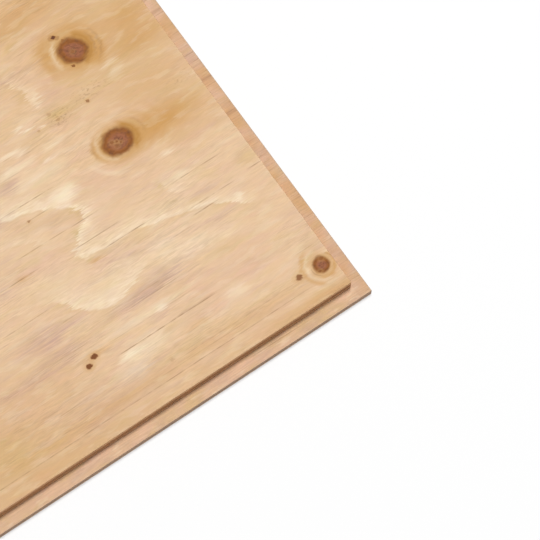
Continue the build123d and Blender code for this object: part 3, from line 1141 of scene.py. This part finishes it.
def wear_edges(points, half, inside, sizes):
    """How far saw and router have set the edges of one half back.

    On the edge itself a point goes back by the glue groove, a bell curve over its height, and by the end
    grain's own roughness where a ply ends there. Near the face and the back, fibres that end at the cut are
    torn: the depth is the tear times a quarter of one random height and three quarters of another's cube,
    and falls to nothing over the rim.
    """
    moved = np.zeros_like(points)
    ply = HIGH.z / sizes.plies
    level = points[:, 2]
    number = np.clip((level / ply).astype(int), 0, sizes.plies - 1)
    to_glue = np.abs((level / ply + 0.5) % 1 - 0.5)
    glued = (level > ply / 2) & (level < HIGH.z - ply / 2)
    groove = sizes.glue_groove * np.exp(-((to_glue / GROOVE_WIDTH) ** 2)) * glued
    depth = np.minimum(HIGH.z - level, level)
    torn = np.clip(1 - depth / (1.5 * sizes.rim), 0, 1)
    for axis in (0, 1):
        ends = (number + axis) % 2 == 0
        along = points[:, 1 - axis]
        tear = sizes.tear * (1.0 if axis == 0 else TEAR_ALONG_GRAIN)
        for side, wall in ((-1, half.low[axis]), (1, half.high[axis])):
            seed = 100 * axis + 10 * side + int(wall > 0)
            end_grain, shallow, deep = (
                uneven_edge(along, wear.step, seed + wear.seed)
                for wear in (END_GRAIN_WEAR, SHALLOW_WEAR, DEEP_WEAR)
            )
            inward = (wall - points[:, axis]) * side
            on_edge = inside & (inward < SAME)
            near = inside * np.clip(1 - inward / sizes.rim, 0, 1)
            rough = sizes.end_grain * (0.3 + 0.7 * end_grain) * ends * (depth > sizes.arris)
            nick = tear * (0.25 * shallow + 0.75 * deep**3)
            moved[:, axis] -= side * (on_edge * (groove + rough) + near * torn * nick)
    return moved


def lay_patches(sizes):
    """Every surface of the sheet as flat patches on one lattice."""
    (xa, ya, lip), (xb, yb, top) = UPPER
    (xc, yc, floor), (xd, yd, ledge) = LOWER
    stretch, rim = sizes.close_stretch, sizes.rim
    x_middle = stations([xc + rim, xb - stretch, xb - rim], [sizes.wide_step, sizes.close_step])
    y_middle = stations([ya + rim, ya + stretch, yd - rim], [sizes.close_step, sizes.wide_step])
    xs = edge_lines(LOW.x, HIGH.x, x_middle, sizes)
    ys = edge_lines(LOW.y, HIGH.y, y_middle, sizes)
    levels = level_lines(lip, top, sizes), np.array([ledge, lip]), level_lines(floor, ledge, sizes)
    bake = BakeMap(stretch)
    shell = Shell()
    build_lid(shell, within(xs, xa, xb), within(ys, ya, yb), top, bake.face, FACE_SLOT, False)
    build_lid(shell, within(xs, xc, xd), within(ys, yc, yd), floor, bake.back, BACK_SLOT, True)

    # Each side, whose walls stand across this axis: its row on the map, the outer way, and its upper and
    # lower wall. Between the two is the short wall of the gap, which belongs to the half that stands back.
    for axis, row, outer, upper_at, lower_at in (
        (1, 0, -1, ya, yc),
        (0, 1, 1, xb, xd),
        (1, 2, 1, yb, yd),
        (0, 3, -1, xa, xc),
    ):
        lines = ys if axis == 0 else xs
        spans = [(half.low[1 - axis], half.high[1 - axis]) for half in (UPPER, LOWER)]
        both = (max(spans[0][0], spans[1][0]), min(spans[0][1], spans[1][1]))
        underlap = outer * (lower_at - upper_at) > 0
        gap_at, gap_start = (upper_at, top) if underlap else (lower_at, top + LAP)
        turned = (axis == 0) == (outer < 0)
        slot = END_SLOT if axis == 0 else LONG_SLOT
        for at, span, up, start in (
            (upper_at, spans[0], levels[0], top),
            (gap_at, both, levels[1], gap_start),
            (lower_at, spans[1], levels[2], top + LAP),
        ):
            chart = bake.edge(row, 1 - axis, start, -1)
            shell.grid(within(lines, *span), up, plane(axis, at), chart, slot, turned)

    # The ledges and the undersides of the overlaps: each goes round one corner as two patches
    for x_span, y_span, level, row, axis, start, sign in (
        ((xc, xd), (yc, ya), ledge, 0, 0, top - ledge + ya, -1),
        ((xb, xd), (ya, yd), ledge, 1, 1, top - ledge - xb, 1),
        ((xa, xb), (yd, yb), lip, 2, 0, top - lip + yb, -1),
        ((xa, xc), (ya, yd), lip, 3, 1, top - lip - xa, 1),
    ):
        chart = bake.edge(row, axis, start, sign, swapped=axis == 1)
        shell.grid(within(xs, *x_span), within(ys, *y_span), plane(2, level), chart, LAP_SLOT, level == lip)
    return shell


def eased_and_worn(points, sizes):
    """The points moved to their rounds and their wear. Each half is grown to meet the other in the gap
    between the two levels, and the rounds of its lap run out where the lap meets the sheet."""
    x, y, z = points.T

    def inside(half, low, high):
        """Which points lie in one half, between two levels."""
        plan = points[:, :2]
        in_plan = np.all((plan >= half.low[:2] - SAME) & (plan <= half.high[:2] + SAME), axis=1)
        return in_plan & (z >= low - SAME) & (z <= high + SAME)

    def run_out(*distances):
        """0 at these distances' zero and 1 beyond the stretch in which rounds run out, multiplied up."""
        return np.prod([np.clip(distance / RUN_OUT, 0, 1) for distance in distances], axis=0)

    in_upper = inside(UPPER, LEDGE_LEVEL, HIGH.z)
    in_lower = inside(LOWER, LOW.z, OVERLAP_LEVEL)
    lip_round = run_out(y - UPPER.low[1], UPPER.high[0] - x)
    ledge_round = run_out(x - LOWER.low[0], LOWER.high[1] - y)
    moved = ease_corners(points, UPPER, sizes.arris, 1, lip_round) * in_upper[:, None]
    moved += ease_corners(points, LOWER, sizes.arris, ledge_round, 1) * in_lower[:, None]
    moved += wear_edges(points, UPPER, in_upper, sizes) + wear_edges(points, LOWER, in_lower, sizes)
    return points + moved


def build_sheet_mesh(sizes):
    """The sheet's patches, welded and then eased and worn as one skin."""
    shell = lay_patches(sizes)
    welded, back_to = np.unique(snapped(np.concatenate(shell.points)), axis=0, return_inverse=True)
    back_to = back_to.ravel()
    mesh = bpy.data.meshes.new("plywood")
    faces = [face for block in shell.blocks for face in back_to[block].tolist()]
    mesh.from_pydata(eased_and_worn(welded, sizes).tolist(), [], faces)
    corners = np.concatenate([block.ravel() for block in shell.blocks])
    places = np.concatenate(shell.maps)[corners]
    mesh.uv_layers.new(name="OFBake").uv.foreach_set("vector", places.astype(np.float32).ravel())
    mesh.polygons.foreach_set("material_index", np.array(shell.slots, np.int32))
    mesh.shade_smooth()
    mesh.set_sharp_from_angle(angle=SHARP_ANGLE)
    mesh.update()
    return mesh


class PLYWOOD_OT_add_sheet(bpy.types.Operator):
    """Adds the plywood sheet in place of its CAD node"""

    bl_idname = "plywood.add_sheet"
    bl_label = "Add Plywood Sheet"

    def execute(self, context):
        sizes = context.scene.plywood_sizes
        colours = context.scene.plywood_colours
        tone = SimpleNamespace(**{name: tuple(getattr(colours, name)) for name in set_names(colours)})
        mesh = build_sheet_mesh(sizes)
        for material in (
            veneer("knotty_face_veneer", tone, tone.wood, FACE_SEED, True),
            veneer("back_veneer", tone, tone.back, BACK_SEED, False),
            lap_ledge(tone),
            sawn_edge(tone, sizes.plies, "sawn_end_edge", 1, 1),
            sawn_edge(tone, sizes.plies, "sawn_long_edge", 0, 0),
        ):
            mesh.materials.append(material)
        sheet = bpy.data.objects.new("plywood", mesh)
        context.scene.collection.objects.link(sheet)
        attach(sheet, "root")
        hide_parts(NODE)
        return {"FINISHED"}


class PLYWOOD_OT_add_stage(bpy.types.Operator):
    """Adds the pale floor, the soft light and the camera"""

    bl_idname = "plywood.add_stage"
    bl_label = "Add Stage"

    def execute(self, context):
        stage = context.scene.plywood_stage
        self.add_floor(context, stage)
        self.add_light(context, stage)
        self.add_camera(context, stage)
        context.scene.view_settings.view_transform = "Standard"
        return {"FINISHED"}

    def add_floor(self, context, stage):
        """A large square under the sheet. Seen directly it is part plain white, so its shadow is faint."""
        side = np.array([-0.5, 0.5]) * stage.floor_size
        x, y = (part.ravel() for part in np.meshgrid(side, side))
        mesh = bpy.data.meshes.new("floor")
        mesh.from_pydata(np.stack([x, y, np.full(4, LOW.z)], 1).tolist(), [], [(0, 1, 3, 2)])
        finish = Finish(bpy.data.materials.new("pale_floor"))
        plain = finish.node("ShaderNodeBsdfDiffuse", inputs={"Color": (*stage.floor, 1.0)})
        white = finish.node("ShaderNodeEmission", inputs={"Color": (1.0, 1.0, 1.0, 1.0), "Strength": 1.0})
        seen = self.seen_directly(finish) * stage.floor_glow
        finish.show(finish.node("ShaderNodeMixShader", inputs={0: seen, 1: plain, 2: white}))
        mesh.materials.append(finish.owner)
        floor = bpy.data.objects.new("floor", mesh)
        context.scene.collection.objects.link(floor)

    @staticmethod
    def seen_directly(finish):
        """1 for what the camera sees, also in a mirror or through glass, and 0 for light that falls on
        things."""
        rays = finish.node("ShaderNodeLightPath")
        camera, glossy, through = map(rays.other, ("Is Camera Ray", "Is Glossy Ray", "Is Transmission Ray"))
        return camera.most(glossy).most(through)

    def add_light(self, context, stage):
        """Even light from all round, which looks white, and one large soft lamp overhead."""
        world = bpy.data.worlds.new("studio")
        finish = Finish(world)
        strength = self.seen_directly(finish) * (1 - stage.sky) + stage.sky
        glow = {"Color": (1.0, 1.0, 1.0, 1.0), "Strength": strength}
        finish.show(finish.node("ShaderNodeBackground", inputs=glow))
        context.scene.world = world
        lamp = bpy.data.lights.new("overhead_lamp", "AREA")
        lamp.energy = stage.lamp
        lamp.size = stage.lamp_size
        hung = bpy.data.objects.new("overhead_lamp", lamp)
        hung.location = stage.lamp_place
        hung.rotation_euler = Vector(stage.lamp_place).to_track_quat("Z", "Y").to_euler()
        context.scene.collection.objects.link(hung)

    def add_camera(self, context, stage):
        """The photograph's view: the lap's outer corner lies at its pixel, at the set depth and angles."""
        turn, dip = stage.turn, stage.dip
        ahead = Vector((math.sin(turn) * math.cos(dip), math.cos(turn) * math.cos(dip), -math.sin(dip)))
        right = Vector((math.cos(turn), -math.sin(turn), 0))
        up = right.cross(ahead)
        middle = FRAME_SIDE / 2
        aside = (CORNER_PIXEL[0] - middle) * stage.distance / FOCAL_LENGTH
        above = (middle - CORNER_PIXEL[1]) * stage.distance / FOCAL_LENGTH
        corner = Vector((HIGH.x, LOW.y, LEDGE_LEVEL))
        camera = bpy.data.cameras.new("camera")
        camera.sensor_width = SENSOR_MM
        camera.lens = SENSOR_MM * FOCAL_LENGTH / FRAME_SIDE
        camera.clip_end = FARTHEST
        stand = bpy.data.objects.new("camera", camera)
        place = corner - ahead * stage.distance - right * aside - up * above
        stand.matrix_world = Matrix.Translation(place) @ Matrix((right, up, -ahead)).transposed().to_4x4()
        context.scene.collection.objects.link(stand)
        context.scene.camera = stand


class PLYWOOD_PT_panel(bpy.types.Panel):
    """The sheet's sizes and colours, and a button for each thing to add"""

    bl_idname = "PLYWOOD_PT_panel"
    bl_label = "Plywood Sheet"
    bl_space_type = "VIEW_3D"
    bl_region_type = "UI"
    bl_category = "Plywood"

    def draw(self, context):
        scene = context.scene
        for group in (scene.plywood_sizes, scene.plywood_colours, scene.plywood_stage):
            box = self.layout.box()
            for name in set_names(group):
                box.prop(group, name)
        for operator in (PLYWOOD_OT_add_sheet, PLYWOOD_OT_add_stage):
            self.layout.operator(operator.bl_idname)


GROUPS = {
    "plywood_sizes": PlywoodSizes,
    "plywood_colours": PlywoodColours,
    "plywood_stage": PlywoodStage,
}
CLASSES = (*GROUPS.values(), PLYWOOD_OT_add_sheet, PLYWOOD_OT_add_stage, PLYWOOD_PT_panel)


def register():
    """Registers every class, and gives each scene its three groups of properties."""
    for each in CLASSES:
        bpy.utils.register_class(each)
    for name, group in GROUPS.items():
        setattr(bpy.types.Scene, name, PointerProperty(type=group))


def unregister():
    """Takes away what register added."""
    for name in GROUPS:
        delattr(bpy.types.Scene, name)
    for each in reversed(CLASSES):
        bpy.utils.unregister_class(each)


def main():
    register()
    bpy.ops.plywood.add_stage()
    bpy.ops.plywood.add_sheet()
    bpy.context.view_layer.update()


if __name__ == "__main__":
    main()
